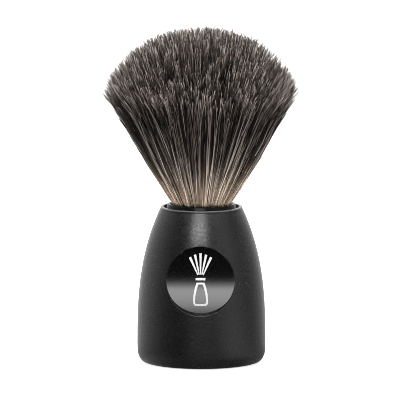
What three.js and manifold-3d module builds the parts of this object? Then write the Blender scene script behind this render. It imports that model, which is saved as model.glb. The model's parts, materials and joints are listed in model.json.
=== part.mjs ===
// Shaving brush: a weighted handle with a badge let into its front, and a screw-in head that carries
// the hair. Millimetres, +Z up, origin at the centre of the face that the brush stands on. The badge
// faces -Y.

import * as THREE from 'three';
import * as BufferGeometryUtils from 'three/addons/utils/BufferGeometryUtils.js';
import Module from 'manifold-3d';

const wasm = await Module();
wasm.setup();

// ---------------------------------------------------------------- driving dimensions

const GAP = 0.3;                    // clearance between neighbouring pieces

// Handle, outside
const RIM_Z = 46.9;                 // height of the handle's mouth
const BELLY_Z = 6.1;                // height of the widest place
const BELLY_R = 19.3;
const SHOULDER_DROP = 7.22;         // how much narrower the mouth is than the belly
const SHOULDER_POWER = 2.7;         // how suddenly the handle narrows towards the mouth
const WAIST_DROP = 0.45;            // how much narrower the handle is at the floor than at the belly
const HEEL_WIDTH = 2.95;            // the rounded heel, across and up
const HEEL_HEIGHT = 4.17;
const RIM_ROUND = 0.42;
const SOLE_Z = 0.2;                 // the handle ends just above the floor, the foot pad meets it

// Handle, inside
const SOCKET_R = 11.3;              // the mouth and the socket under it
const SOCKET_FLOOR_Z = 30.0;
const WEB_Z = 25.0;                 // underside of the web between socket and ballast chamber
const PILOT_R = 2.1;
const CHAMBER_R = 10.0;
const PLUG_SEAT_R = 13.6;
const PLUG_SEAT_Z = 3.2;

// Badge and its recess, sunk straight into the front of the handle
const BADGE_Z = 26.7;
const RECESS_R = 10.45;
const RECESS_FLOOR_Y = -12.6;
const BADGE_FACE_Y = -14.6;
const BADGE_EDGE = 0.15;            // small bevel round the badge's face
const ADHESIVE_THICKNESS = 0.4;
const ADHESIVE_INSET = 0.7;

// Thread between the head and the handle: a right-hand rounded thread
const PITCH = 2.0;
const THREAD_DEPTH = 0.35;          // half of the height from root to crest
const MALE_MEAN_R = 9.15;
const FEMALE_MEAN_R = MALE_MEAN_R + GAP;
const MALE_THREAD_Z = [34.3, 41.3];
const BUSH_Z = [32.0, 42.6];
const THREAD_STEPS = 5;             // rows of points in each turn of thread

// Head
const CUP_Z = 31.0;                 // underside of the ferrule's cup
const CUP_FLOOR = 1.5;
const CUP_BORE_R = 8.1;
const NECK_R = 9.5;
const FLANGE_R = SOCKET_R - GAP;
const FLANGE_Z = 43.9;              // underside of the ferrule's flange
const FLANGE_EDGE_Z = 46.3;         // where the flange starts to round over
const COLLAR_TOP_Z = 48.2;
const COLLAR_LIP_R = 9.75;          // the highest line of the collar
const COLLAR_MOUTH_R = 9.35;

// Hair: a fan with straight sides that would meet at a point deep in the handle
const APEX_Z = 34.16;
const FAN_SLOPE = 0.646;            // radius gained for each millimetre of height
const BUNDLE_R = CUP_BORE_R - GAP;
const HAIR_SPLIT_R = 17.5;          // the root ends and the tuft starts on spheres about the apex
const PLUG_TOP_Z = 38.0;
const DOME_Z = 69.0;                // centre of the domed top
const DOME_R = 31.9;
const FAN_CORNER_R = 29.4;          // where the straight side turns into the dome

// Ballast and base
const SLUG_R = CHAMBER_R - GAP;
const SLUG_Z = [8.0, WEB_Z - GAP];
const SCREW_R = PILOT_R - GAP;
const SCREW_HEAD_R = 3.6;
const SCREW_HEAD_HEIGHT = 2.2;
const SCREW_DRIVE_R = 1.5;
const SCREW_DRIVE_DEPTH = 1.3;
const SCREW_TIP_Z = 29.0;
const WASHER_R = 4.8;
const WASHER_THICKNESS = 0.8;
const PAD_R = 12.0;
const PAD_THICKNESS = 0.9;
const SPIGOT_R = [8.2, 9.7];
const SPIGOT_TOP_Z = 4.9;

// Roundness of the turned pieces
const FINE = 56;
const MEDIUM = 40;
const COARSE = 32;

// ---------------------------------------------------------------- helpers

const V = (r, z) => new THREE.Vector2(r, z);

// A turned solid about the Z axis. The outline runs from the axis, or from any point of a ring's
// section, anticlockwise in the half plane (radius, height), and a ring's outline closes on itself.
function turned(outline, segments) {
  const geometry = new THREE.LatheGeometry(outline, segments);
  geometry.rotateX(Math.PI / 2);
  return geometry;
}

// The same points again at the end, so that a ring's section closes on itself.
function ring(outline) {
  return [...outline, outline[0].clone()];
}

// A rectangle's outline with small bevels, for flat rings.
function ringSection(innerR, outerR, lowZ, highZ, bevel) {
  return ring([
    V(innerR + bevel, lowZ), V(outerR - bevel, lowZ), V(outerR, lowZ + bevel),
    V(outerR, highZ - bevel), V(outerR - bevel, highZ), V(innerR + bevel, highZ),
    V(innerR, highZ - bevel), V(innerR, lowZ + bevel),
  ]);
}

// A disc's outline with small bevels.
function discSection(r, lowZ, highZ, bevel) {
  return [
    V(0, lowZ), V(r - bevel, lowZ), V(r, lowZ + bevel),
    V(r, highZ - bevel), V(r - bevel, highZ), V(0, highZ),
  ];
}

// Points on an arc of an ellipse in the half plane, angles in degrees from the +radius direction.
function arc(centreR, centreZ, radiusR, radiusZ, from, to, steps) {
  const points = [];
  for (let i = 0; i <= steps; i += 1) {
    const angle = THREE.MathUtils.degToRad(from + (to - from) * i / steps);
    points.push(V(centreR + radiusR * Math.cos(angle), centreZ + radiusZ * Math.sin(angle)));
  }
  return points;
}

// Evenly spaced heights between two heights, both ends left out.
function between(lowZ, highZ, step) {
  const count = Math.max(1, Math.round((highZ - lowZ) / step));
  return Array.from({ length: count - 1 }, (_, i) => lowZ + (highZ - lowZ) * (i + 1) / count);
}

// Moves the points of a turned solid's wall in and out along a right-hand helix. The thread fades
// out over half a turn at each end, to its root on a screw and in a nut alike.
function cutThread(geometry, meanR, lowZ, highZ, side) {
  const position = geometry.getAttribute('position');
  const rootR = meanR - side * THREAD_DEPTH;
  for (let i = 0; i < position.count; i += 1) {
    const x = position.getX(i);
    const y = position.getY(i);
    const z = position.getZ(i);
    const r = Math.hypot(x, y);
    if (Math.abs(r - rootR) > 0.01 || z <= lowZ || z >= highZ) continue;
    const turns = z / PITCH - Math.atan2(y, x) / (2 * Math.PI);
    const fade = Math.min(1, (z - lowZ) / (PITCH / 2), (highZ - z) / (PITCH / 2));
    const height = THREAD_DEPTH * (1 + side * Math.cos(2 * Math.PI * turns));
    const newR = rootR + side * fade * height;
    position.setXY(i, x * newR / r, y * newR / r);
  }
  return geometry;
}

function toManifold(geometry) {
  const bare = geometry.clone();
  bare.deleteAttribute('normal');
  bare.deleteAttribute('uv');
  const merged = BufferGeometryUtils.mergeVertices(bare, 1e-4);
  const position = merged.getAttribute('position');
  const index = merged.getIndex().array;
  const faces = [];
  for (let i = 0; i < index.length; i += 3) {
    const [a, b, c] = [index[i], index[i + 1], index[i + 2]];
    if (a !== b && b !== c && c !== a) faces.push(a, b, c);
  }
  return new wasm.Manifold(new wasm.Mesh({
    numProp: 3,
    vertProperties: new Float32Array(position.array),
    triVerts: new Uint32Array(faces),
  }));
}

function fromManifold(solid) {
  const mesh = solid.getMesh();
  const geometry = new THREE.BufferGeometry();
  geometry.setAttribute('position', new THREE.BufferAttribute(new Float32Array(mesh.vertProperties), 3));
  geometry.setIndex(new THREE.BufferAttribute(new Uint32Array(mesh.triVerts), 1));
  geometry.computeVertexNormals();
  return geometry;
}

function cut(geometry, ...tools) {
  const solid = tools.reduce((rest, tool) => rest.subtract(toManifold(tool)), toManifold(geometry));
  return fromManifold(solid);
}

const brush = new THREE.Group();

function add(group, name, geometry, colour, roughness, metalness) {
  const material = new THREE.MeshStandardMaterial({ color: colour, roughness, metalness });
  const mesh = new THREE.Mesh(geometry, material);
  mesh.name = name;
  group.add(mesh);
  return mesh;
}

// ---------------------------------------------------------------- handle

// Outside radius of the handle above its heel.
function handleRadius(z) {
  const up = Math.max(0, (z - BELLY_Z) / (RIM_Z - BELLY_Z));
  const down = Math.max(0, (BELLY_Z - z) / BELLY_Z);
  return BELLY_R - SHOULDER_DROP * up ** SHOULDER_POWER - WAIST_DROP * down ** 2;
}

function handleShell() {
  const heelTop = SOLE_Z + HEEL_HEIGHT;
  const heelR = handleRadius(heelTop) - HEEL_WIDTH;
  const rimStart = RIM_Z - RIM_ROUND;
  const rimR = handleRadius(rimStart);
  const wall = between(heelTop, rimStart, 3.6).map((z) => V(handleRadius(z), z));
  const outline = ring([
    V(PLUG_SEAT_R, SOLE_Z),
    ...arc(heelR, heelTop, HEEL_WIDTH, HEEL_HEIGHT, -90, 0, 6),
    ...wall,
    ...arc(rimR - RIM_ROUND, rimStart, RIM_ROUND, RIM_ROUND, 0, 90, 3),
    ...arc(SOCKET_R + RIM_ROUND / 2, RIM_Z - RIM_ROUND / 2, RIM_ROUND / 2, RIM_ROUND / 2, 90, 180, 2),
    V(SOCKET_R, SOCKET_FLOOR_Z),
    V(PILOT_R, SOCKET_FLOOR_Z),
    V(PILOT_R, WEB_Z),
    V(CHAMBER_R, WEB_Z),
    V(CHAMBER_R, PLUG_SEAT_Z),
    V(PLUG_SEAT_R, PLUG_SEAT_Z),
  ]);
  const recess = new THREE.CylinderGeometry(RECESS_R, RECESS_R, BELLY_R, MEDIUM);
  recess.translate(0, RECESS_FLOOR_Y - BELLY_R / 2, 0);
  recess.translate(0, 0, BADGE_Z);
  return cut(turned(outline, FINE), recess);
}

function socketBush() {
  const [lowZ, highZ] = BUSH_Z;
  const rootR = FEMALE_MEAN_R + THREAD_DEPTH;
  const outerR = SOCKET_R - GAP;
  const bevel = 0.3;
  const rows = between(lowZ, highZ, PITCH / THREAD_STEPS).reverse().map((z) => V(rootR, z));
  const outline = ring([
    V(rootR, lowZ), V(outerR - bevel, lowZ), V(outerR, lowZ + bevel),
    V(outerR, highZ - bevel), V(outerR - bevel, highZ), V(rootR, highZ),
    ...rows,
  ]);
  return cutThread(turned(outline, COARSE), FEMALE_MEAN_R, lowZ, highZ, -1);
}

// ---------------------------------------------------------------- ballast and base

function ballastWeight() {
  const [lowZ, highZ] = SLUG_Z;
  return turned(ringSection(SCREW_R + GAP, SLUG_R, lowZ, highZ, 0.5), COARSE);
}

function ballastWasher(lowZ) {
  return turned(ringSection(SCREW_R + GAP, WASHER_R, lowZ, lowZ + WASHER_THICKNESS, 0.1), COARSE);
}

function ballastScrew(headTopZ) {
  const headZ = headTopZ - SCREW_HEAD_HEIGHT;
  const point = 1.5;
  const outline = [
    V(0, headZ), ...arc(SCREW_HEAD_R - 1.0, headZ + 1.0, 1.0, 1.0, -90, 0, 3),
    V(SCREW_HEAD_R, headTopZ), V(SCREW_R, headTopZ), V(SCREW_R, SCREW_TIP_Z - point), V(0, SCREW_TIP_Z),
  ];
  const drive = new THREE.CylinderGeometry(SCREW_DRIVE_R, SCREW_DRIVE_R, 2 * SCREW_DRIVE_DEPTH, 6);
  drive.rotateX(Math.PI / 2);
  drive.translate(0, 0, headZ);
  return cut(turned(outline, 24), drive);
}

function basePlug() {
  const outerR = PLUG_SEAT_R - GAP;
  const recessR = PAD_R + GAP;
  const lowZ = SOLE_Z + GAP;
  const recessZ = PAD_THICKNESS + GAP;
  const topZ = PLUG_SEAT_Z - GAP;
  const [spigotInR, spigotOutR] = SPIGOT_R;
  const outline = [
    V(0, recessZ), V(recessR, recessZ), V(recessR, lowZ), V(outerR - 0.2, lowZ), V(outerR, lowZ + 0.2),
    V(outerR, topZ), V(spigotOutR, topZ), V(spigotOutR, SPIGOT_TOP_Z), V(spigotInR, SPIGOT_TOP_Z),
    V(spigotInR, topZ), V(0, topZ),
  ];
  return turned(outline, MEDIUM);
}

// ---------------------------------------------------------------- badge

// Turned about Z and then laid on its side, its face towards -Y.
function lieInRecess(geometry, backY) {
  geometry.rotateX(Math.PI / 2);
  geometry.translate(0, backY, BADGE_Z);
  return geometry;
}

// ---------------------------------------------------------------- head

function ferruleCollar() {
  const rootR = MALE_MEAN_R - THREAD_DEPTH;
  const [threadLow, threadHigh] = MALE_THREAD_Z;
  const rows = between(threadLow, threadHigh, PITCH / THREAD_STEPS).map((z) => V(rootR, z));
  const lipHeight = COLLAR_TOP_Z - FLANGE_EDGE_Z;
  const flareZ = COLLAR_TOP_Z - (COLLAR_MOUTH_R - CUP_BORE_R) / FAN_SLOPE;
  const outline = [
    V(0, CUP_Z), V(rootR - 0.4, CUP_Z), V(rootR, CUP_Z + 0.4),
    V(rootR, threadLow), ...rows, V(rootR, threadHigh),
    V(rootR, BUSH_Z[1]), V(NECK_R, BUSH_Z[1] + GAP), V(NECK_R, FLANGE_Z), V(FLANGE_R, FLANGE_Z),
    ...arc(COLLAR_LIP_R, FLANGE_EDGE_Z, FLANGE_R - COLLAR_LIP_R, lipHeight, 0, 90, 5),
    V(COLLAR_MOUTH_R, COLLAR_TOP_Z - 0.1),
    V(CUP_BORE_R, flareZ - 0.1), V(CUP_BORE_R, CUP_Z + CUP_FLOOR), V(0, CUP_Z + CUP_FLOOR),
  ];
  return cutThread(turned(outline, COARSE), MALE_MEAN_R, threadLow, threadHigh, 1);
}

function collarGasket() {
  const topZ = FLANGE_Z - GAP;
  const lowZ = BUSH_Z[1] + GAP;
  return turned(ringSection(NECK_R + GAP, FLANGE_R, lowZ, topZ, 0.15), MEDIUM);
}

// The cord is wound round the bundle, so the bundle is narrower there.
function bindingCord() {
  const turns = 4;
  const cordR = 0.5;
  const outline = [];
  for (let i = 0; i < turns; i += 1) {
    const z = PLUG_TOP_Z + GAP + cordR + i * 2 * cordR;
    outline.push(...arc(BUNDLE_R - cordR, z, cordR, cordR, -60, 60, 2));
  }
  const lastZ = outline[outline.length - 1].y;
  outline.push(V(BUNDLE_R - 2 * cordR, lastZ), V(BUNDLE_R - 2 * cordR, outline[0].y));
  return turned(ring(outline), COARSE);
}

function knotPlug() {
  return turned(discSection(BUNDLE_R, CUP_Z + CUP_FLOOR + GAP, PLUG_TOP_Z, 0.4), COARSE);
}

function hairRoot() {
  const cordTopZ = PLUG_TOP_Z + 2 * GAP + 4;
  const waistR = BUNDLE_R - 1.0 - GAP;
  const flareZ = APEX_Z + BUNDLE_R / FAN_SLOPE;
  const fanAngle = THREE.MathUtils.radToDeg(Math.atan(1 / FAN_SLOPE));
  const outline = [
    V(0, PLUG_TOP_Z + GAP), V(waistR, PLUG_TOP_Z + GAP), V(waistR, cordTopZ),
    V(BUNDLE_R, cordTopZ + 0.6), V(BUNDLE_R, flareZ),
    ...arc(0, APEX_Z, HAIR_SPLIT_R, HAIR_SPLIT_R, fanAngle, 90, 6),
  ];
  outline[outline.length - 1].x = 0;
  return turned(outline, COARSE);
}

function hairTuft() {
  const splitR = HAIR_SPLIT_R + GAP;
  const fanAngle = THREE.MathUtils.radToDeg(Math.atan(1 / FAN_SLOPE));
  const cornerZ = APEX_Z + FAN_CORNER_R / FAN_SLOPE;
  const cornerAngle = THREE.MathUtils.radToDeg(Math.atan2(cornerZ - DOME_Z, FAN_CORNER_R));
  const outline = [
    ...arc(0, APEX_Z, splitR, splitR, 90, fanAngle, 5),
    ...arc(0, DOME_Z, DOME_R, DOME_R, cornerAngle, 90, 12),
  ];
  outline[0].x = 0;
  outline[outline.length - 1].x = 0;
  return turned(outline, FINE);
}

// ---------------------------------------------------------------- assembly

const body = new THREE.Group();
const head = new THREE.Group();
brush.add(body, head);

const BLACK = 0x17171a;
const washerZ = SLUG_Z[0] - GAP - WASHER_THICKNESS;
const badgeR = RECESS_R - GAP;
const adhesiveY = RECESS_FLOOR_Y - GAP;
const badgeBackY = adhesiveY - ADHESIVE_THICKNESS - GAP;

add(body, 'handle_shell', handleShell(), BLACK, 0.55, 0.0);
add(body, 'socket_bush', socketBush(), 0xb08d4a, 0.35, 0.9);
add(body, 'ballast_weight', ballastWeight(), 0x8c8f93, 0.4, 0.9);
add(body, 'ballast_washer', ballastWasher(washerZ), 0xb9bbbd, 0.3, 0.9);
add(body, 'ballast_screw', ballastScrew(washerZ - GAP), 0x9a9da1, 0.3, 0.9);
add(body, 'base_plug', basePlug(), 0x1b1b1d, 0.5, 0.0);
add(body, 'foot_pad', turned(discSection(PAD_R, 0, PAD_THICKNESS, 0.2), MEDIUM), 0x232323, 0.9, 0.0);

const adhesive = turned(discSection(badgeR - ADHESIVE_INSET, 0, ADHESIVE_THICKNESS, 0.1), MEDIUM);
add(body, 'badge_adhesive', lieInRecess(adhesive, adhesiveY), 0xd8d2c0, 0.8, 0.0);
const badge = turned(discSection(badgeR, 0, badgeBackY - BADGE_FACE_Y, BADGE_EDGE), MEDIUM);
add(body, 'badge_disc', lieInRecess(badge, badgeBackY), 0x050506, 0.05, 0.0);

add(head, 'collar_gasket', collarGasket(), 0x101010, 0.7, 0.0);
add(head, 'ferrule_collar', ferruleCollar(), 0x0b0b0c, 0.15, 0.0);
add(head, 'knot_plug', knotPlug(), 0xc9a870, 0.3, 0.0);
add(head, 'binding_cord', bindingCord(), 0xded6c4, 0.9, 0.0);
add(head, 'hair_root', hairRoot(), 0xa39281, 0.8, 0.0);
add(head, 'hair_tuft', hairTuft(), 0x45403d, 0.8, 0.0);

export default brush;
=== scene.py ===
# A shaving brush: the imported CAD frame, its finished surfaces, its hair, and a plain light studio.
# Everything is in metres in the frame's own axes: +Z up, the badge facing -Y.

import json
import math

import bmesh
import bpy
import numpy as np
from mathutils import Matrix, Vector


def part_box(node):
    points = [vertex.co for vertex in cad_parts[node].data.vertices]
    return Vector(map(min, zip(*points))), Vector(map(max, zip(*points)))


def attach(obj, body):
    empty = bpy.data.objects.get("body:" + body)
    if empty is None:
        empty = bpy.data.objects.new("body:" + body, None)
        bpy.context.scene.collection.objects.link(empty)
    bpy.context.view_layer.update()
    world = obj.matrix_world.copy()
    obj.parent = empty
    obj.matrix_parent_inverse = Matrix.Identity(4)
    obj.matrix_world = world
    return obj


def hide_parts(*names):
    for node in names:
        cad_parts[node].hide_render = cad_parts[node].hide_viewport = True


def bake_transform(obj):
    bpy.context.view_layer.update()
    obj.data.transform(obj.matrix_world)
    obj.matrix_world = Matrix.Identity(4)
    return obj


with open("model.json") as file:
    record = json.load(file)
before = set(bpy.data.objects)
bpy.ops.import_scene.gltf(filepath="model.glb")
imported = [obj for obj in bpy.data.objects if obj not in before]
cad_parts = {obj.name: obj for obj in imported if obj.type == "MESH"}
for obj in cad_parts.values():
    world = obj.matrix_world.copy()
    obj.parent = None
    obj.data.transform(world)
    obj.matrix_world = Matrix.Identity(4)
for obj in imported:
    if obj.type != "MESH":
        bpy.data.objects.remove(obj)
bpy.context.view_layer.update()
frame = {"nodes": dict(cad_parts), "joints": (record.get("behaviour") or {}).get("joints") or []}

MM = 0.001
SEED = 20


# ------------------------------------------------------------------ sizes taken from the frame


def radius_of(node):
    low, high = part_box(node)
    return (high.x - low.x) / 2


shell_low, shell_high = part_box("handle_shell")
badge_low, badge_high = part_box("badge_disc")
adhesive_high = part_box("badge_adhesive")[1]
collar_low, collar_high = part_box("ferrule_collar")
gasket_low, gasket_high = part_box("collar_gasket")
bush_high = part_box("socket_bush")[1]
pad_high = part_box("foot_pad")[1]
plug_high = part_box("base_plug")[1]
tuft_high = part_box("hair_tuft")[1]
tuft_joint = next(j for j in frame["joints"] if j["name"] == "tuft_sway")

GAP = 0.3 * MM
RIM_LIFT = 0.15 * MM              # how far the rim stands above the CAD solid's
RIM_Z = shell_high.z + RIM_LIFT
LIP_HIGH = 0.28 * MM              # height of the flat on the rim's outer corner
LIP_TILT = 29                     # how far that flat faces upwards, in degrees
LIP_BAND = 0.28 * MM              # height of the upright band under it
SOLE_Z = shell_low.z
BELLY_R = radius_of("handle_shell")
COLLAR_TOP_Z = collar_high.z - 0.3 * MM
FLANGE_R = radius_of("ferrule_collar")
SOCKET_R = FLANGE_R + GAP
BADGE_Z = (badge_low.z + badge_high.z) / 2 - 0.065 * MM
BADGE_R = radius_of("badge_disc") + 0.10 * MM
BADGE_FACE_Y = badge_low.y - 0.85 * MM
BADGE_BACK_Y = badge_high.y
RECESS_R = BADGE_R + 0.04 * MM
RECESS_FLOOR_Y = adhesive_high.y + GAP
TUFT_TOP_Z = tuft_high.z
APEX = Vector(tuft_joint["pos_m"])


# ------------------------------------------------------------------ mesh helpers


def new_object(name, mesh):
    obj = bpy.data.objects.new(name, mesh)
    bpy.context.scene.collection.objects.link(obj)
    return obj


def smooth(mesh, sharp_degrees=35):
    mesh.polygons.foreach_set("use_smooth", [True] * len(mesh.polygons))
    mesh.set_sharp_from_angle(angle=math.radians(sharp_degrees))


def lathe(name, outline, segments=192):
    """A turned solid about Z. An outline that starts and ends on the axis is solid, any other is a ring."""
    points = np.array(outline, float)
    on_axis = points[0][0] < 1e-9 and points[-1][0] < 1e-9
    inner = points[1:-1] if on_axis else points
    angles = np.linspace(0, 2 * math.pi, segments, endpoint=False)
    rows = len(inner)
    x = np.outer(np.sin(angles), inner[:, 0])
    y = -np.outer(np.cos(angles), inner[:, 0])
    z = np.tile(inner[:, 1], (segments, 1))
    vertices = np.stack([x, y, z], axis=-1).reshape(-1, 3).tolist()
    faces = []
    last = rows - 1 if on_axis else rows
    for i in range(segments):
        a, b = i * rows, (i + 1) % segments * rows
        for k in range(last):
            n = (k + 1) % rows
            faces.append((a + k, b + k, b + n, a + n))
    if on_axis:
        low, high = len(vertices), len(vertices) + 1
        vertices += [(0, 0, points[0][1]), (0, 0, points[-1][1])]
        for i in range(segments):
            a, b = i * rows, (i + 1) % segments * rows
            faces.append((low, b, a))
            faces.append((high, a + rows - 1, b + rows - 1))
    mesh = bpy.data.meshes.new(name)
    mesh.from_pydata(vertices, [], faces)
    mesh.validate()
    fix = bmesh.new()
    fix.from_mesh(mesh)
    bmesh.ops.recalc_face_normals(fix, faces=fix.faces)
    fix.to_mesh(mesh)
    fix.free()
    smooth(mesh)
    return new_object(name, mesh)


def arc(centre_r, centre_z, radius_r, radius_z, start, stop, steps):
    """Points on an ellipse's arc in the half plane, angles in degrees from the +radius direction."""
    angles = np.radians(np.linspace(start, stop, steps + 1))
    return [(centre_r + radius_r * math.cos(a), centre_z + radius_z * math.sin(a)) for a in angles]


def ring_section(inner_r, outer_r, low_z, high_z, bevel, steps=3):
    """The outline of a flat ring with rounded edges."""
    return (
        arc(outer_r - bevel, low_z + bevel, bevel, bevel, -90, 0, steps)
        + arc(outer_r - bevel, high_z - bevel, bevel, bevel, 0, 90, steps)
        + arc(inner_r + bevel, high_z - bevel, bevel, bevel, 90, 180, steps)
        + arc(inner_r + bevel, low_z + bevel, bevel, bevel, 180, 270, steps)
    )


# ------------------------------------------------------------------ material helpers


class Look:
    """A node material with a Principled shader, and short ways to add to it."""

    def __init__(self, name, colour, roughness, metallic=0.0, **inputs):
        self.material = bpy.data.materials.new(name)
        self.material.use_nodes = True
        self.tree = self.material.node_tree
        self.shader = self.tree.nodes["Principled BSDF"]
        self.shader.inputs["Base Color"].default_value = (*colour, 1)
        self.shader.inputs["Roughness"].default_value = roughness
        self.shader.inputs["Metallic"].default_value = metallic
        for key, value in inputs.items():
            self.shader.inputs[key.replace("_", " ")].default_value = value
        self.place = self.add("ShaderNodeTexCoord").outputs["Object"]

    def add(self, kind, **settings):
        node = self.tree.nodes.new(kind)
        for key, value in settings.items():
            setattr(node, key, value)
        return node

    def link(self, out, into):
        self.tree.links.new(out, into)

    def noise(self, scale, detail=3.0, roughness=0.5, place=None):
        node = self.add("ShaderNodeTexNoise")
        node.inputs["Scale"].default_value = scale
        node.inputs["Detail"].default_value = detail
        node.inputs["Roughness"].default_value = roughness
        self.link(place or self.place, node.inputs["Vector"])
        return node.outputs["Fac"]

    def cells(self, scale, output="Distance", **settings):
        node = self.add("ShaderNodeTexVoronoi", **settings)
        node.inputs["Scale"].default_value = scale
        self.link(self.place, node.inputs["Vector"])
        return node.outputs[output]

    def above(self, height, blend):
        """0 below a height and 1 above it."""
        split = self.add("ShaderNodeSeparateXYZ")
        self.link(self.place, split.inputs["Vector"])
        node = self.add("ShaderNodeMapRange")
        node.inputs["From Min"].default_value = height
        node.inputs["From Max"].default_value = height + blend
        self.link(split.outputs["Z"], node.inputs["Value"])
        return node.outputs["Result"]

    def ramp(self, factor, stops):
        node = self.add("ShaderNodeValToRGB")
        elements = node.color_ramp.elements
        while len(elements) < len(stops):
            elements.new(0.5)
        for element, (position, value) in zip(elements, stops):
            colour = (value, value, value) if isinstance(value, (int, float)) else value
            element.position = position
            element.color = (*colour, 1)
        self.link(factor, node.inputs["Fac"])
        return node.outputs["Color"]

    def mix(self, factor, a, b, blend="MIX"):
        node = self.add("ShaderNodeMix", data_type="RGBA", blend_type=blend)
        for value, socket in ((factor, node.inputs[0]), (a, node.inputs[6]), (b, node.inputs[7])):
            if isinstance(value, bpy.types.NodeSocket):
                self.link(value, socket)
            else:
                socket.default_value = (*value, 1) if isinstance(value, tuple) else value
        return node.outputs[2]

    def bump(self, height, strength, distance, below=None):
        node = self.add("ShaderNodeBump")
        node.inputs["Strength"].default_value = strength
        node.inputs["Distance"].default_value = distance
        self.link(height, node.inputs["Height"])
        if below is not None:
            self.link(below, node.inputs["Normal"])
        return node.outputs["Normal"]

    def colour(self, out):
        self.link(out, self.shader.inputs["Base Color"])

    def rough(self, out):
        self.link(out, self.shader.inputs["Roughness"])

    def normal(self, out):
        self.link(out, self.shader.inputs["Normal"])


def dress(obj, look):
    obj.data.materials.clear()
    obj.data.materials.append(look.material)
    return obj


# ------------------------------------------------------------------ materials


def handle_look():
    """Matte black lacquer with a fine grain that breaks up its highlights, and a painted highlight: the
    rim's outer flat is coloured light grey.
    """
    look = Look("handle matte black", (0.004, 0.004, 0.0042), 0.32)
    look.shader.inputs["Specular IOR Level"].default_value = 0.75
    fine = look.noise(3600, detail=2.0)
    coarse = look.noise(1300, detail=2.0, roughness=0.6)
    clouds = look.noise(90, detail=4.0)
    lacquer = look.mix(
        look.ramp(clouds, [(0.3, 0.0), (0.7, 1.0)]), (0.004, 0.004, 0.0042), (0.0055, 0.0055, 0.0059),
    )
    # the band on the rim's outer flat: a painted highlight, coloured light grey so the rim shows as a bright
    # line; its grain bumps are flattened too
    lip = look.above(RIM_Z - LIP_HIGH - 0.04 * MM, 0.05 * MM)
    look.colour(look.mix(lip, lacquer, (0.08, 0.08, 0.08)))
    look.rough(look.ramp(coarse, [(0.3, 0.24), (0.7, 0.37)]))
    level = (0.5, 0.5, 0.5)
    below = look.bump(look.mix(lip, coarse, level), 0.65, 0.05 * MM)
    look.normal(look.bump(look.mix(lip, fine, level), 0.4, 0.03 * MM, below))
    return look


def collar_look():
    """Dark moulded plastic with a soft gloss and faint turning marks."""
    look = Look("collar soft black", (0.006, 0.006, 0.0065), 0.22)
    look.shader.inputs["Specular IOR Level"].default_value = 0.12
    marks = look.noise(900, detail=2.0)
    look.rough(look.ramp(marks, [(0.3, 0.18), (0.7, 0.27)]))
    look.colour(look.mix(marks, (0.005, 0.005, 0.0055), (0.008, 0.008, 0.0085)))
    return look


def badge_look():
    """A polished dark disc, like smoked glass over metal."""
    look = Look("badge polished black", (0.0015, 0.0015, 0.0016), 0.03)
    look.shader.inputs["IOR"].default_value = 3.0
    dust = look.cells(900, output="Distance")
    look.colour(look.ramp(dust, [(0.0, (0.006, 0.006, 0.006)), (0.05, (0.0015, 0.0015, 0.0016))]))
    return look


def rubber_look(name, shade):
    look = Look(name, (shade, shade, shade), 0.85)
    grain = look.noise(3000, detail=3.0)
    look.colour(look.mix(grain, (shade * 0.7,) * 3, (shade * 1.3,) * 3))
    look.normal(look.bump(grain, 0.4, 0.05 * MM))
    return look


def plastic_look(name, shade, roughness):
    look = Look(name, (shade, shade, shade), roughness)
    grain = look.noise(1600, detail=3.0)
    look.colour(look.mix(grain, (shade * 0.8,) * 3, (shade * 1.2,) * 3))
    look.normal(look.bump(grain, 0.15, 0.03 * MM))
    return look


def turned_metal_look(name, colour, roughness):
    """Metal with fine rings left by the lathe, round the Z axis."""
    look = Look(name, colour, roughness, metallic=1.0)
    wave = look.add("ShaderNodeTexWave", wave_type="RINGS", rings_direction="Z")
    wave.inputs["Scale"].default_value = 1800
    wave.inputs["Distortion"].default_value = 0.6
    look.link(look.place, wave.inputs["Vector"])
    marks = look.noise(400, detail=4.0)
    darker = tuple(0.8 * c for c in colour)
    look.colour(look.mix(marks, darker, colour))
    look.normal(look.bump(wave.outputs["Fac"], 0.15, 0.02 * MM))
    return look


def resin_look():
    look = Look("amber resin", (0.45, 0.27, 0.09), 0.12, **{"Coat_Weight": 0.5})
    clouds = look.noise(260, detail=3.0)
    look.colour(look.mix(clouds, (0.36, 0.20, 0.06), (0.54, 0.34, 0.13)))
    return look


def thread_look():
    look = Look("waxed thread", (0.6, 0.55, 0.45), 0.8)
    fibre = look.noise(2500, detail=4.0)
    look.colour(look.mix(fibre, (0.48, 0.43, 0.34), (0.70, 0.65, 0.55)))
    look.normal(look.bump(fibre, 0.5, 0.08 * MM))
    return look


def tape_look():
    look = Look("foam tape", (0.6, 0.57, 0.48), 0.9)
    foam = look.cells(1800, output="Distance")
    look.colour(look.ramp(foam, [(0.0, (0.42, 0.39, 0.32)), (0.6, (0.66, 0.63, 0.54))]))
    return look


def emblem_look():
    look = Look("emblem white ink", (0.5, 0.5, 0.5), 0.4)
    ink = look.noise(700, detail=3.0)
    look.colour(look.mix(ink, (0.50, 0.50, 0.495), (0.57, 0.57, 0.57)))
    return look


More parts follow.
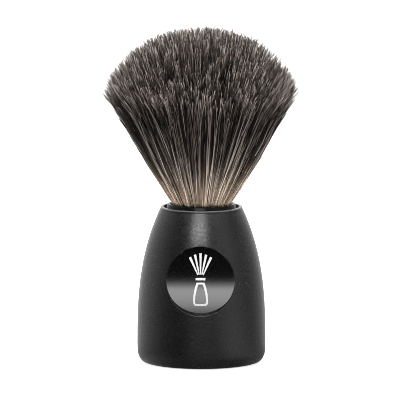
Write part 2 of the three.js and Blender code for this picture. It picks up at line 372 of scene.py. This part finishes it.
def hair_look():
    """Banded hair. U picks the hair's own tone and V runs from its root to its tip."""
    look = Look("banded hair", (0.05, 0.045, 0.04), 0.42)
    look.shader.inputs["Specular IOR Level"].default_value = 0.07
    layer = look.add("ShaderNodeUVMap", uv_map="OFBake")
    split = look.add("ShaderNodeSeparateXYZ")
    look.link(layer.outputs["UV"], split.inputs["Vector"])
    tone, along = split.outputs["X"], split.outputs["Y"]
    # from the root up to 0.105 both ramps are brighter than the rest of the band: partly the hair's real
    # cream root, partly painted light against the shade of the collar's mouth round the roots
    dark = look.ramp(along, [
        (0.000, (0.90, 0.72, 0.55)),
        (0.105, (0.78, 0.610, 0.465)),
        (0.15, (0.285, 0.216, 0.159)),
        (0.24, (0.18, 0.136, 0.102)),
        (0.34, (0.080, 0.060, 0.047)),
        (0.50, (0.017, 0.0132, 0.0110)),
        (0.65, (0.0052, 0.0042, 0.0039)),
        (0.93, (0.0045, 0.0036, 0.0034)),
        (0.96, (0.010, 0.0083, 0.0075)),
        (1.00, (0.065, 0.055, 0.049)),
    ])
    light = look.ramp(along, [
        (0.000, (0.96, 0.84, 0.69)),
        (0.105, (0.90, 0.777, 0.635)),
        (0.15, (0.62, 0.527, 0.428)),
        (0.20, (0.61, 0.511, 0.416)),
        (0.36, (0.46, 0.386, 0.327)),
        (0.50, (0.31, 0.262, 0.231)),
        (0.66, (0.185, 0.156, 0.141)),
        (0.88, (0.150, 0.126, 0.115)),
        (0.95, (0.24, 0.204, 0.182)),
        (1.00, (0.72, 0.626, 0.560)),
    ])
    share = look.ramp(tone, [(0.0, 0.0), (0.56, 0.02), (0.68, 0.28), (0.79, 0.90), (1.0, 1.0)])
    darkest = look.ramp(tone, [(0.0, 1.0), (0.19, 1.0), (0.23, 0.0), (1.0, 0.0)])
    banded = look.mix(share, dark, light)
    look.colour(look.mix(darkest, banded, (0.012, 0.0095, 0.008)))
    return look


looks = {
    "handle": handle_look(),
    "collar": collar_look(),
    "badge": badge_look(),
    "emblem": emblem_look(),
    "gasket": rubber_look("gasket rubber", 0.012),
    "pad": rubber_look("pad rubber", 0.03),
    "plug": plastic_look("plug plastic", 0.02, 0.45),
    "brass": turned_metal_look("turned brass", (0.62, 0.44, 0.18), 0.28),
    "steel": turned_metal_look("turned steel", (0.50, 0.50, 0.51), 0.35),
    "zinc": turned_metal_look("zinc plated steel", (0.62, 0.62, 0.63), 0.25),
    "resin": resin_look(),
    "thread": thread_look(),
    "tape": tape_look(),
    "hair": hair_look(),
}


# ------------------------------------------------------------------ handle

BELLY_Z = 6.1 * MM                # height of the widest place
SHOULDER_DROP = 7.22 * MM         # how much narrower the mouth is than the belly
SHOULDER_POWER = 2.7
WAIST_DROP = 0.45 * MM
HEEL_WIDTH = 2.25 * MM
HEEL_HEIGHT = 3.8 * MM
RIM_ROUND = 0.42 * MM             # rounding between the rim's top and the socket
PLUG_DEPTH = 2.0 * MM             # depth of the seat of the base plug
WEB_PLAY = 1.0 * MM               # room between the screwed-in cup and the web under it
PILOT_R = 2.1 * MM                # hole of the ballast screw in the web
EDGE_ROUND = 0.08 * MM            # rounding of the recess's edge at its sides
EDGE_DROP = 0.03 * MM             # how much wider that rounding is below than at the sides


def handle_radius(z):
    up = max(0.0, (z - BELLY_Z) / (RIM_Z - BELLY_Z))
    down = max(0.0, (BELLY_Z - z) / BELLY_Z)
    return BELLY_R - SHOULDER_DROP * up**SHOULDER_POWER - WAIST_DROP * down**2


def lip_corner():
    """The rim's outer corner: a narrow upright band, then a steep flat that small arcs blend in."""
    blend = 0.09 * MM
    low_z = RIM_Z - LIP_HIGH
    wall_r = handle_radius(low_z - LIP_BAND)
    low_turn = blend * math.tan(math.radians(LIP_TILT) / 2)
    high_turn = blend * math.tan(math.radians(90 - LIP_TILT) / 2)
    top_r = wall_r - LIP_HIGH * math.tan(math.radians(LIP_TILT))
    return [
        (wall_r, low_z - LIP_BAND + 0.06 * MM),
        *arc(wall_r - blend, low_z - low_turn, blend, blend, 0, LIP_TILT, 3),
        *arc(top_r - high_turn, RIM_Z - blend, blend, blend, LIP_TILT, 90, 5),
    ]


def handle_outline():
    """The shell's section: outside wall, rim, socket, web with the screw's hole, and ballast chamber."""
    plug_r = radius_of("base_plug") + GAP
    chamber_r = radius_of("ballast_weight") + GAP
    web_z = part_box("ballast_weight")[1].z + GAP
    floor_z = collar_low.z - WEB_PLAY
    seat_z = plug_high.z - PLUG_DEPTH + GAP
    heel_top = SOLE_Z + HEEL_HEIGHT
    heel_r = handle_radius(heel_top) - HEEL_WIDTH
    wall_top = RIM_Z - LIP_HIGH - LIP_BAND
    wall = [(handle_radius(z), z) for z in np.linspace(heel_top, wall_top, 90)[1:]]
    half_round = RIM_ROUND / 2
    return [
        (plug_r, SOLE_Z),
        *arc(heel_r, heel_top, HEEL_WIDTH, HEEL_HEIGHT, -90, 0, 28),
        *wall,
        *lip_corner(),
        *arc(SOCKET_R + half_round, RIM_Z - half_round, half_round, half_round, 90, 180, 6),
        (SOCKET_R, floor_z),
        (PILOT_R, floor_z),
        (PILOT_R, web_z),
        (chamber_r, web_z),
        (chamber_r, seat_z),
        (plug_r, seat_z),
    ]


def surface_y(x, z):
    return -math.sqrt(max(handle_radius(z) ** 2 - x * x, 0.0))


def cut_recess(handle):
    """Cuts the round recess and gives its edge a rounded lip: the cut's edge is found, the faces inside it
    are taken out, and a column of new faces runs inwards from each of the edge's points."""
    edge_r = RECESS_R + EDGE_ROUND
    bpy.ops.mesh.primitive_cylinder_add(vertices=256, radius=edge_r, depth=BELLY_R, end_fill_type="NGON")
    drill = bpy.context.object
    drill.rotation_euler = (math.pi / 2, 0, 0)
    drill.location = (0, RECESS_FLOOR_Y - BELLY_R / 2, BADGE_Z - EDGE_DROP)
    bpy.context.view_layer.update()
    boolean = handle.modifiers.new("recess", "BOOLEAN")
    boolean.object = drill
    boolean.operation = "DIFFERENCE"
    boolean.solver = "EXACT"
    result = bpy.data.meshes.new_from_object(handle.evaluated_get(bpy.context.evaluated_depsgraph_get()))
    handle.modifiers.clear()
    handle.data = result
    bpy.data.objects.remove(drill)

    work = bmesh.new()
    work.from_mesh(result)
    bmesh.ops.remove_doubles(work, verts=work.verts, dist=1e-6)

    def from_axis(v):
        return math.hypot(v.co.x, v.co.z - BADGE_Z + EDGE_DROP)

    inside = [
        f for f in work.faces
        if f.calc_center_median().y < RECESS_FLOOR_Y + 1e-6
        and all(from_axis(v) < edge_r + 2e-6 for v in f.verts)
    ]
    bmesh.ops.delete(work, geom=inside, context="FACES")
    loop = [v for v in work.verts if v.is_boundary and abs(from_axis(v) - edge_r) < 1e-4]
    loop.sort(key=lambda v: math.atan2(v.co.z - BADGE_Z, v.co.x))
    columns = []
    for v in loop:
        angle = math.atan2(v.co.z - BADGE_Z, v.co.x)
        c, s = math.cos(angle), math.sin(angle)

        def at(r, y):
            return Vector((r * c, y, BADGE_Z + r * s))

        corner = at(RECESS_R, surface_y(RECESS_R * c, BADGE_Z + RECESS_R * s))
        foot = at(RECESS_R, min(corner.y + EDGE_ROUND, RECESS_FLOOR_Y))
        column = [v]
        for t in (0.25, 0.5, 0.75, 1.0):
            place = v.co * (1 - t) ** 2 + corner * 2 * t * (1 - t) + foot * t**2
            column.append(work.verts.new(place))
        for share in (0.35, 1.0):
            column.append(work.verts.new(foot.lerp(at(RECESS_R, RECESS_FLOOR_Y), share)))
        columns.append(column)
    centre = work.verts.new((0, RECESS_FLOOR_Y, BADGE_Z))
    for a, b in zip(columns, columns[1:] + columns[:1]):
        for k in range(len(a) - 1):
            work.faces.new((a[k], b[k], b[k + 1], a[k + 1]))
        work.faces.new((a[-1], b[-1], centre))
    bmesh.ops.recalc_face_normals(work, faces=work.faces)
    work.to_mesh(result)
    work.free()
    smooth(result, 40)


handle = lathe("handle", handle_outline(), 256)
cut_recess(handle)
dress(handle, looks["handle"])
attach(handle, "handle")
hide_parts("handle_shell")


# ------------------------------------------------------------------ badge


def badge_disc():
    """A flat disc with slightly rounded edges, turned to face the front."""
    bevel = 0.06 * MM
    depth = BADGE_BACK_Y - BADGE_FACE_Y
    outline = [
        (0, 0), (BADGE_R - 1.3 * bevel, 0), *arc(BADGE_R - bevel, bevel, bevel, bevel, -90, 0, 3),
        *arc(BADGE_R - bevel, depth - bevel, bevel, bevel, 0, 90, 5),
        (BADGE_R - 1.3 * bevel, depth), (0.5 * BADGE_R, depth), (0, depth),
    ]
    disc = lathe("badge", outline, 160)
    disc.rotation_euler = (math.pi / 2, 0, 0)
    disc.location = (0, BADGE_BACK_Y, BADGE_Z)
    return disc


def emblem():
    """A plain line drawing of a brush: five tapered rays above a collar and an outlined handle."""
    work = bmesh.new()
    back = BADGE_FACE_Y - 0.005 * MM
    front = BADGE_FACE_Y - 0.06 * MM

    def vertex(x, y, z):
        return work.verts.new((x * MM, y, BADGE_Z + z * MM))

    def plate(points, hole=None):
        """A thin plate, or a thin frame if it has a hole, from outlines in millimetres from the centre."""
        loops = [points] + ([hole] if hole else [])
        rings = [[[vertex(x, y, z) for x, z in loop] for y in (front, back)] for loop in loops]
        for high, low in rings:
            for i in range(len(high)):
                j = (i + 1) % len(high)
                work.faces.new((low[i], low[j], high[j], high[i]))
        for side in (0, 1):
            outer = rings[0][side]
            if not hole:
                work.faces.new(outer)
                continue
            inner = rings[1][side]
            for i in range(len(outer)):
                j = (i + 1) % len(outer)
                work.faces.new((outer[i], outer[j], inner[j], inner[i]))

    rays, spread = 5, 24
    for i in range(rays):
        turn = math.radians(-spread + 2 * spread * i / (rays - 1))
        reach = 8.3 - 1.3 * abs(math.sin(turn))
        across = (math.cos(turn), -math.sin(turn))
        along = (math.sin(turn), math.cos(turn))
        corners = ((-1, 1.9, 0.15), (1, 1.9, 0.15), (1, reach, 0.36), (-1, reach, 0.36))
        plate([
            (along[0] * far + side * half * across[0], along[1] * far + side * half * across[1])
            for side, far, half in corners
        ])
    plate([(-1.45, 0.15), (1.45, 0.15), (1.45, 0.85), (-1.45, 0.85)])
    right = [(1.15, -0.55), (1.65, -2.0), (2.05, -3.8), (2.25, -5.6), (2.2, -7.0), (1.6, -7.6)]
    inner = [(0.60, -1.10), (1.05, -2.2), (1.45, -3.9), (1.65, -5.6), (1.6, -6.7), (1.3, -7.0)]
    plate(
        right + [(-x, z) for x, z in right[::-1]],
        inner + [(-x, z) for x, z in inner[::-1]],
    )
    bmesh.ops.recalc_face_normals(work, faces=work.faces)
    mesh = bpy.data.meshes.new("emblem")
    work.to_mesh(mesh)
    work.free()
    return new_object("emblem", mesh)


badge = dress(badge_disc(), looks["badge"])
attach(badge, "handle")
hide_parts("badge_disc")

mark = dress(emblem(), looks["emblem"])
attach(mark, "handle")


# ------------------------------------------------------------------ collar, gasket and foot

CUP_BORE_R = 8.1 * MM
COLLAR_MOUTH_R = 9.35 * MM
COLLAR_WALL_R = 10.15 * MM
FLANGE_Z = gasket_high.z + GAP
FLANGE_EDGE_Z = COLLAR_TOP_Z - 1.9 * MM
NECK_R = 9.5 * MM
PITCH = 2.0 * MM
THREAD_DEPTH = 0.35 * MM
MALE_MEAN_R = 9.15 * MM
MALE_THREAD_Z = (34.3 * MM, 41.3 * MM)
FAN_SLOPE = 0.646


def cut_thread(obj, mean_r, low_z, high_z):
    """Moves the points of a turned wall in and out along a right-hand helix, fading out at both ends."""
    root_r = mean_r - THREAD_DEPTH
    for v in obj.data.vertices:
        r = math.hypot(v.co.x, v.co.y)
        if abs(r - root_r) > 1e-6 or not low_z < v.co.z < high_z:
            continue
        turns = v.co.z / PITCH - math.atan2(v.co.y, v.co.x) / (2 * math.pi)
        fade = min(1.0, (v.co.z - low_z) / (PITCH / 2), (high_z - v.co.z) / (PITCH / 2))
        new_r = root_r + fade * THREAD_DEPTH * (1 + math.cos(2 * math.pi * turns))
        v.co.x *= new_r / r
        v.co.y *= new_r / r


def ferrule():
    """The cup: threaded outside, with a flange, a steep collar with a flat top, and a flared mouth."""
    root_r = MALE_MEAN_R - THREAD_DEPTH
    low, high = MALE_THREAD_Z
    flare_z = COLLAR_TOP_Z - (COLLAR_MOUTH_R - CUP_BORE_R) / FAN_SLOPE
    edge = 0.22 * MM
    floor_z = collar_low.z + 1.5 * MM
    outline = [
        (0, collar_low.z),
        *arc(root_r - 0.4 * MM, collar_low.z + 0.4 * MM, 0.4 * MM, 0.4 * MM, -90, 0, 4),
        (root_r, low),
        *[(root_r, z) for z in np.linspace(low, high, 85)[1:-1]],
        (root_r, high),
        (root_r, bush_high.z),
        (NECK_R, gasket_low.z),
        (NECK_R, FLANGE_Z),
        *arc(FLANGE_R - 0.15 * MM, FLANGE_Z + 0.15 * MM, 0.15 * MM, 0.15 * MM, -90, 0, 3),
        *arc(FLANGE_R - 0.3 * MM, FLANGE_EDGE_Z, 0.3 * MM, 0.3 * MM, 0, 60, 5),
        (COLLAR_WALL_R + 0.16 * MM, COLLAR_TOP_Z - 0.9 * MM),
        *arc(COLLAR_WALL_R - edge, COLLAR_TOP_Z - edge, edge, edge, 12, 90, 6),
        *arc(COLLAR_MOUTH_R + 0.1 * MM, COLLAR_TOP_Z - 0.1 * MM, 0.1 * MM, 0.1 * MM, 90, 180, 3),
        (CUP_BORE_R, flare_z - 0.1 * MM),
        (CUP_BORE_R, floor_z),
        (0, floor_z),
    ]
    obj = lathe("ferrule", outline, 160)
    cut_thread(obj, MALE_MEAN_R, low, high)
    smooth(obj.data, 50)
    return obj


collar = dress(ferrule(), looks["collar"])
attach(collar, "knot")
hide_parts("ferrule_collar")

gasket = lathe("gasket", ring_section(NECK_R + GAP, FLANGE_R, gasket_low.z, gasket_high.z, 0.2 * MM, 5), 160)
dress(gasket, looks["gasket"])
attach(gasket, "seal")
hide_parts("collar_gasket")


def foot():
    """A rubber disc with shallow concentric ribs on the side that it stands on."""
    r, top = radius_of("foot_pad"), pad_high.z
    ribs, depth = 7, 0.18 * MM
    outline = [(0, depth)]
    step = (r - 2.4 * MM) / ribs
    for i in range(ribs):
        start = 1.2 * MM + i * step
        outline += [
            (start, depth), (start + 0.15 * step, 0), (start + 0.6 * step, 0), (start + 0.75 * step, depth),
        ]
    outline += [(r - 1.2 * MM, depth), (r - 1.1 * MM, 0)]
    outline += arc(r - 0.2 * MM, 0.2 * MM, 0.2 * MM, 0.2 * MM, -90, 0, 4)
    outline += arc(r - 0.2 * MM, top - 0.2 * MM, 0.2 * MM, 0.2 * MM, 0, 90, 4)
    outline.append((0, top))
    return lathe("foot", outline, 128)


pad = dress(foot(), looks["pad"])
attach(pad, "handle")
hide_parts("foot_pad")

for node, look in (
    ("socket_bush", "brass"), ("ballast_weight", "steel"), ("ballast_washer", "zinc"),
    ("ballast_screw", "zinc"), ("base_plug", "plug"), ("badge_adhesive", "tape"),
    ("knot_plug", "resin"), ("binding_cord", "thread"),
):
    dress(frame["nodes"][node], looks[look])
    smooth(frame["nodes"][node].data, 30)


# ------------------------------------------------------------------ hair

HAIRS = 16000
CLUMPS = 2800
ALONG = np.array([0, 0.22, 0.44, 0.63, 0.79, 0.91, 1.0])   # where a hair's rings of points are
RINGS = len(ALONG)
ROOT_REACH = 12.5 * MM            # the hairs' start, measured from the apex
DOME_Z = 69.0 * MM
DOME_R = TUFT_TOP_Z - DOME_Z
THICK = 0.115 * MM                # half width of a hair in its middle
HAIR_PIECES = 4
CORE = 0.92                       # radius of the dense core, where 1 is the fan's edge
FRINGE = 0.11                     # width of the sparse fringe round the core
FRINGE_SHARE = 0.030              # share of the hairs in the fringe
GUARD_FROM = 0.93                 # hairs further out than this have their own mix of tones
UNEVEN = 0.45 * MM                # how unevenly the hairs end
UNEVEN_CLUMP = 0.35 * MM          # the same for whole clumps
DEEP_SHARE = 0.30                 # share of the hairs that end below the surface
DEEP = 9 * MM                     # and how far below they may end
BEND = 0.55 * MM                  # sideways bend at the tip
CURL = 0.85 * MM                  # sharper bend of the tip only
WAVE = 0.14 * MM                  # waviness along the hair
DRIFT = 0.038                     # how far a hair leaves its own line
PULL = 0.35                       # how far it is drawn to its clump's centre
STRAY_SHARE = 0.18                # share of the hairs that stand off a little
STRAY = 0.08
NARROWING = 0.085                 # how far the fan's edge draws in towards the tips


def dome_reach(direction):
    """How far the domed top is from the apex along unit directions."""
    up = DOME_Z - APEX.z
    along = up * direction[:, 2]
    return along + np.sqrt(np.maximum(DOME_R**2 - up**2 + along**2, 0))


def disc_points(rng, count):
    """Even over the disc, but sparse in its outermost part."""
    r = CORE * np.sqrt(rng.random(count))
    r = np.where(rng.random(count) < FRINGE_SHARE, CORE + FRINGE * rng.random(count), r)
    a = rng.random(count) * 2 * math.pi
    return np.stack([r * np.cos(a), r * np.sin(a)], axis=1)


def fan_direction(place):
    d = np.concatenate([place * FAN_SLOPE, np.ones((len(place), 1))], axis=1)
    return d / np.linalg.norm(d, axis=1, keepdims=True)


def grow_hair():
    """Centre lines, tones and the shift of the bands of all the hairs. A hair runs straight out of the fan's
    apex, drawn towards its clump's centre at the tip, and bends a little."""
    rng = np.random.default_rng(SEED)
    centres = disc_points(rng, CLUMPS)
    clump = rng.integers(0, CLUMPS, HAIRS)
    spread = 1.0 / math.sqrt(CLUMPS)
    place = centres[clump] + rng.normal(0, spread, (HAIRS, 2))
    radius = np.linalg.norm(place, axis=1, keepdims=True)
    place = place * np.minimum(1.0, 1.02 / radius)

    wide = np.minimum(radius[:, 0], 1)
    shape = 0.7 * MM * np.sin(math.pi * np.minimum(wide / 0.9, 1)) - 1.2 * MM * wide**4
    reach = dome_reach(fan_direction(place)) + shape
    short = np.abs(rng.normal(0, UNEVEN, HAIRS))
    deep = rng.random(HAIRS) < DEEP_SHARE
    short = np.where(deep, rng.random(HAIRS) * DEEP, short)
    clump_short = rng.normal(0, UNEVEN_CLUMP, CLUMPS)[clump]
    tip = reach - np.maximum(short + clump_short, -0.7 * MM)

    bend = rng.normal(0, BEND, (HAIRS, 2))
    curl = rng.normal(0, CURL, (HAIRS, 2))
    wave = rng.normal(0, WAVE, (HAIRS, 2))
    drift = rng.normal(0, DRIFT, (HAIRS, 2))
    pull = PULL * rng.random((HAIRS, 1))
    stray = np.where(rng.random((HAIRS, 1)) < STRAY_SHARE, STRAY * rng.random((HAIRS, 1)), 0)
    lines = np.zeros((HAIRS, RINGS, 3))
    for k, v in enumerate(ALONG):
        here = place + (centres[clump] - place) * pull * v**1.3 + drift * v
        wide = np.linalg.norm(here, axis=1, keepdims=True)
        limit = 1.0 - NARROWING * min(1.0, max(0.0, (v - 0.40) / 0.5)) + stray * v
        here = here * np.minimum(1.0, limit / wide)
        d = fan_direction(here)
        r = ROOT_REACH + v * (tip - ROOT_REACH)
        p = np.array(APEX) + d * r[:, None]
        p[:, :2] += bend * v**2.2 + curl * v**8 + wave * math.sin(2.6 * math.pi * v)
        lines[:, k] = p

    tone = np.clip(rng.random(CLUMPS)[clump] * 0.40 + rng.random(HAIRS) * 0.60, 0.01, 0.99)
    guard = radius[:, 0] > GUARD_FROM
    tone = np.where(guard, 0.27 + 0.60 * rng.random(HAIRS), tone)
    shift = rng.normal(0, 0.035, HAIRS)
    thick = THICK * (0.75 + 0.5 * rng.random(HAIRS))
    return lines, tone, shift, thick


def hair_mesh(name, lines, tone, shift, thick):
    """Three-sided tapered hairs around their centre lines, with the OFBake UV layer for their colours."""
    count = len(lines)
    taper = np.interp(ALONG, [0, 0.25, 0.6, 0.88, 1.0], [0.78, 0.95, 1.0, 0.80, 0.35])
    tangent = np.gradient(lines, axis=1)
    tangent /= np.linalg.norm(tangent, axis=2, keepdims=True)
    rng = np.random.default_rng(SEED + len(name) + count)
    turn = rng.random(count) * 2 * math.pi
    side = np.stack([np.cos(turn), np.sin(turn), np.zeros(count)], axis=1)[:, None, :]
    first = side - (side * tangent).sum(2, keepdims=True) * tangent
    first /= np.linalg.norm(first, axis=2, keepdims=True)
    second = np.cross(tangent, first)
    width = (thick[:, None] * taper[None])[..., None]
    corners = []
    for i in range(3):
        a = 2 * math.pi * i / 3
        corners.append(lines + width * (math.cos(a) * first + math.sin(a) * second))
    points = np.stack(corners, axis=2).reshape(-1, 3)

    quads = []
    for k in range(RINGS - 1):
        for i in range(3):
            j = (i + 1) % 3
            quads.append((3 * k + i, 3 * k + j, 3 * k + 3 + j, 3 * k + 3 + i))
    quads = np.array(quads)
    caps = np.array([(2, 1, 0), (3 * RINGS - 3, 3 * RINGS - 2, 3 * RINGS - 1)])
    start = np.arange(count)[:, None, None] * 3 * RINGS
    quad_loops = (quads[None] + start).reshape(-1)
    cap_loops = (caps[None] + start).reshape(-1)
    loops = np.concatenate([quad_loops, cap_loops])
    sizes = np.concatenate([np.full(count * len(quads), 4), np.full(count * len(caps), 3)])
    starts = np.concatenate([[0], np.cumsum(sizes)[:-1]])

    mesh = bpy.data.meshes.new(name)
    mesh.vertices.add(len(points))
    mesh.vertices.foreach_set("co", points.astype(np.float32).ravel())
    mesh.loops.add(len(loops))
    mesh.loops.foreach_set("vertex_index", loops.astype(np.int32))
    mesh.polygons.add(len(sizes))
    mesh.polygons.foreach_set("loop_start", starts.astype(np.int32))
    mesh.polygons.foreach_set("use_smooth", np.ones(len(sizes), bool))
    mesh.update(calc_edges=True)
    layer = mesh.uv_layers.new(name="OFBake")
    v = np.clip(ALONG[None, :] + shift[:, None] * np.sin(math.pi * ALONG)[None], 0.005, 0.995)
    uv = np.stack([np.repeat(tone, RINGS), v.reshape(-1)], axis=1)
    uv = np.repeat(uv, 3, axis=0)
    layer.data.foreach_set("uv", uv[loops].astype(np.float32).ravel())
    return new_object(name, mesh)


def make_hair():
    lines, tone, shift, thick = grow_hair()
    for i in range(HAIR_PIECES):
        part = slice(i, None, HAIR_PIECES)
        piece = hair_mesh(f"hair_{i + 1}", lines[part], tone[part], shift[part], thick[part])
        dress(piece, looks["hair"])
        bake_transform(piece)
        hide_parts("hair_tuft", "hair_root")


make_hair()


# ------------------------------------------------------------------ studio

CAMERA_DISTANCE = 2.5
CAMERA_ELEVATION = math.radians(7.75)
CAMERA_TURN = math.radians(0.95)   # round the brush, towards +X
CAMERA_TARGET = Vector((-0.42 * MM, 0, 48.87 * MM))
FIELD = 120 * MM                  # what the camera sees across, at the target


def make_camera():
    data = bpy.data.cameras.new("camera")
    data.sensor_width = 36
    data.lens = data.sensor_width * CAMERA_DISTANCE / FIELD
    data.clip_start = 0.1
    data.clip_end = 50
    camera = bpy.data.objects.new("camera", data)
    level = CAMERA_DISTANCE * math.cos(CAMERA_ELEVATION)
    height = CAMERA_DISTANCE * math.sin(CAMERA_ELEVATION)
    camera.location = CAMERA_TARGET + Vector((
        level * math.sin(CAMERA_TURN), -level * math.cos(CAMERA_TURN), height,
    ))
    camera.rotation_euler = (math.pi / 2 - CAMERA_ELEVATION, 0, CAMERA_TURN)
    bpy.context.scene.collection.objects.link(camera)
    bpy.context.scene.camera = camera


def set_ramp(node, stops):
    elements = node.color_ramp.elements
    while len(elements) < len(stops):
        elements.new(0.5)
    for element, (position, value) in zip(elements, stops):
        element.position = position
        element.color = (value, value, value, 1)


def compass(nodes, links, x, y):
    """Nodes for the direction round the brush: 0 behind it on the left, 0.5 in front, 1 behind it on
    the right."""
    front = nodes.new("ShaderNodeMath")
    front.operation = "MULTIPLY"
    front.inputs[1].default_value = -1
    links.new(y, front.inputs[0])
    turn = nodes.new("ShaderNodeMath")
    turn.operation = "ARCTAN2"
    links.new(x, turn.inputs[0])
    links.new(front.outputs["Value"], turn.inputs[1])
    share = nodes.new("ShaderNodeMapRange")
    share.inputs["From Min"].default_value = -math.pi
    share.inputs["From Max"].default_value = math.pi
    links.new(turn.outputs["Value"], share.inputs["Value"])
    return share.outputs["Result"]


# brightness of the room round the brush, by the compass above
ROOM = [
    (0.000, 1.60), (0.060, 1.15), (0.120, 0.76), (0.190, 0.57), (0.230, 0.43),
    (0.278, 0.24), (0.314, 0.09), (0.350, 0.015), (0.400, 0.010), (0.443, 0.02),
    (0.500, 0.03), (0.563, 0.15), (0.594, 0.36), (0.626, 0.50), (0.659, 0.54),
    (0.694, 0.43), (0.732, 0.24), (0.775, 0.20), (0.827, 0.36), (0.880, 0.58),
    (0.940, 0.95), (1.000, 1.60),
]


# brightness of the ceiling, by the sine of the height above the horizon
CEILING = [(0.70, 3.2), (0.82, 3.2), (0.90, 1.2), (1.00, 1.0)]


def make_world():
    """Soft light all round, brighter behind and at the sides than in front. The camera sees plain white."""
    world = bpy.data.worlds.new("studio")
    bpy.context.scene.world = world
    world.use_nodes = True
    tree = world.node_tree
    nodes, links = tree.nodes, tree.links
    background = nodes["Background"]
    place = nodes.new("ShaderNodeTexCoord")
    split = nodes.new("ShaderNodeSeparateXYZ")
    links.new(place.outputs["Generated"], split.inputs["Vector"])
    around = nodes.new("ShaderNodeValToRGB")
    set_ramp(around, ROOM)
    links.new(compass(nodes, links, split.outputs["X"], split.outputs["Y"]), around.inputs["Fac"])
    over = nodes.new("ShaderNodeMapRange")
    over.inputs["From Min"].default_value = 0.70
    over.inputs["From Max"].default_value = 0.77
    over.interpolation_type = "SMOOTHSTEP"
    links.new(split.outputs["Z"], over.inputs["Value"])
    ceiling = nodes.new("ShaderNodeValToRGB")
    set_ramp(ceiling, CEILING)
    links.new(split.outputs["Z"], ceiling.inputs["Fac"])
    blend = nodes.new("ShaderNodeMix")
    blend.data_type = "RGBA"
    links.new(ceiling.outputs["Color"], blend.inputs[7])
    links.new(over.outputs["Result"], blend.inputs[0])
    links.new(around.outputs["Color"], blend.inputs[6])
    path = nodes.new("ShaderNodeLightPath")
    seen = nodes.new("ShaderNodeMix")
    seen.data_type = "RGBA"
    seen.inputs[7].default_value = (1.0, 1.0, 1.0, 1)
    links.new(path.outputs["Is Camera Ray"], seen.inputs[0])
    links.new(blend.outputs[2], seen.inputs[6])
    links.new(seen.outputs[2], background.inputs["Color"])


def softbox(name, direction, distance, size, power, target=(0, 0, 0.05)):
    """An area light seen from the target under (azimuth, elevation) in degrees; azimuth 0 is in front."""
    azimuth, elevation = (math.radians(a) for a in direction)
    level = math.cos(elevation)
    way = Vector((math.sin(azimuth) * level, -math.cos(azimuth) * level, math.sin(elevation)))
    data = bpy.data.lights.new(name, "AREA")
    data.shape = "RECTANGLE"
    data.size, data.size_y = size
    data.energy = power
    light = bpy.data.objects.new(name, data)
    light.location = Vector(target) + distance * way
    light.rotation_mode = "QUATERNION"
    light.rotation_quaternion = way.to_track_quat("Z", "Y")
    light.visible_camera = False
    bpy.context.scene.collection.objects.link(light)
    return light


def plane(name, half, z):
    mesh = bpy.data.meshes.new(name)
    corners = [(-half, -half, z), (half, -half, z), (half, half, z), (-half, half, z)]
    mesh.from_pydata(corners, [], [(0, 1, 2, 3)])
    return new_object(name, mesh)


def make_floor():
    """A large white floor, bright enough to look like paper under strong light."""
    floor = plane("floor", 40.0, 0.0)
    look = Look("floor paper", (0.9, 0.9, 0.9), 0.9)
    look.shader.inputs["Specular IOR Level"].default_value = 0.1
    look.shader.inputs["Emission Color"].default_value = (1, 1, 1, 1)
    look.shader.inputs["Emission Strength"].default_value = 0.65
    dress(floor, look)
    floor.visible_glossy = False


# brightness of the table top in front of the brush, from 0.25 m away to the brush itself; its fall close to
# the brush is painted shade
TABLE_EDGE = 0.25
TABLE_TOP = [
    (0.000, 0.010), (0.120, 0.014), (0.161, 0.030), (0.197, 0.12), (0.233, 0.53),
    (0.268, 1.13), (0.303, 1.17), (0.338, 1.11), (0.372, 1.01), (0.406, 0.86),
    (0.441, 0.63), (0.476, 0.42), (0.520, 0.24), (1.000, 0.18),
]


def make_table():
    """What shiny pieces reflect below the horizon: a glowing table top, seen only in reflections, that ends
    a short way in front. Close to the brush its glow is lower: painted shade.
    """
    table = plane("table", 3.0, -0.5 * MM)
    look = Look("table glow", (0, 0, 0), 1.0)
    tree = look.tree
    split = look.add("ShaderNodeSeparateXYZ")
    look.link(look.place, split.inputs["Vector"])
    near = look.add("ShaderNodeMapRange")
    near.inputs["From Min"].default_value = -TABLE_EDGE
    near.inputs["From Max"].default_value = 0
    look.link(split.outputs["Y"], near.inputs["Value"])
    front = look.add("ShaderNodeValToRGB")
    set_ramp(front, TABLE_TOP)
    look.link(near.outputs["Result"], front.inputs["Fac"])
    direction = compass(tree.nodes, tree.links, split.outputs["X"], split.outputs["Y"])
    sides = look.add("ShaderNodeValToRGB")
    set_ramp(sides, ROOM)
    look.link(direction, sides.inputs["Fac"])
    share = look.ramp(direction, [(0.43, 0.0), (0.465, 1.0), (0.535, 1.0), (0.57, 0.0)])
    glow = look.mix(share, sides.outputs["Color"], front.outputs["Color"])
    away = look.add("ShaderNodeVectorMath", operation="LENGTH")
    look.link(look.place, away.inputs[0])
    beside = look.ramp(away.outputs["Value"], [(0.026, 1.0), (0.040, 0.0)])
    # close round the foot: painted shade, darker in front than at the sides
    under = look.ramp(direction, [(0.30, 0.50), (0.42, 0.09), (0.60, 0.09), (0.72, 0.24)])
    glow = look.mix(beside, glow, under)
    look.link(glow, look.shader.inputs["Emission Color"])
    look.shader.inputs["Emission Strength"].default_value = 1
    look.shader.inputs["Specular IOR Level"].default_value = 0
    dress(table, look)
    table.visible_camera = False
    table.visible_diffuse = False
    table.visible_shadow = False


make_camera()
make_world()
make_floor()
make_table()
softbox("softbox front", (-5, 32.5), 0.8, (0.40, 0.22), 2.0)
softbox("softbox top", (0, 84), 1.0, (0.75, 0.75), 3.4)
softbox("softbox back left", (-138, 38), 1.0, (0.35, 0.45), 2.0)
softbox("softbox back right", (138, 38), 1.0, (0.35, 0.45), 2.0)
# these light only matt surfaces, so that the black handle stays as it is
for direction, size, power in (
    ((-104, 6), (0.35, 0.20), 8.0),
    ((104, 6), (0.35, 0.20), 8.0),
    ((0, 86), (0.5, 0.5), 6.0),
):
    lamp = softbox("softbox hair", direction, 1.0, size, power)
    lamp.visible_glossy = False
bpy.context.scene.cycles.filter_width = 1.0

bpy.context.scene.view_settings.view_transform = "Standard"
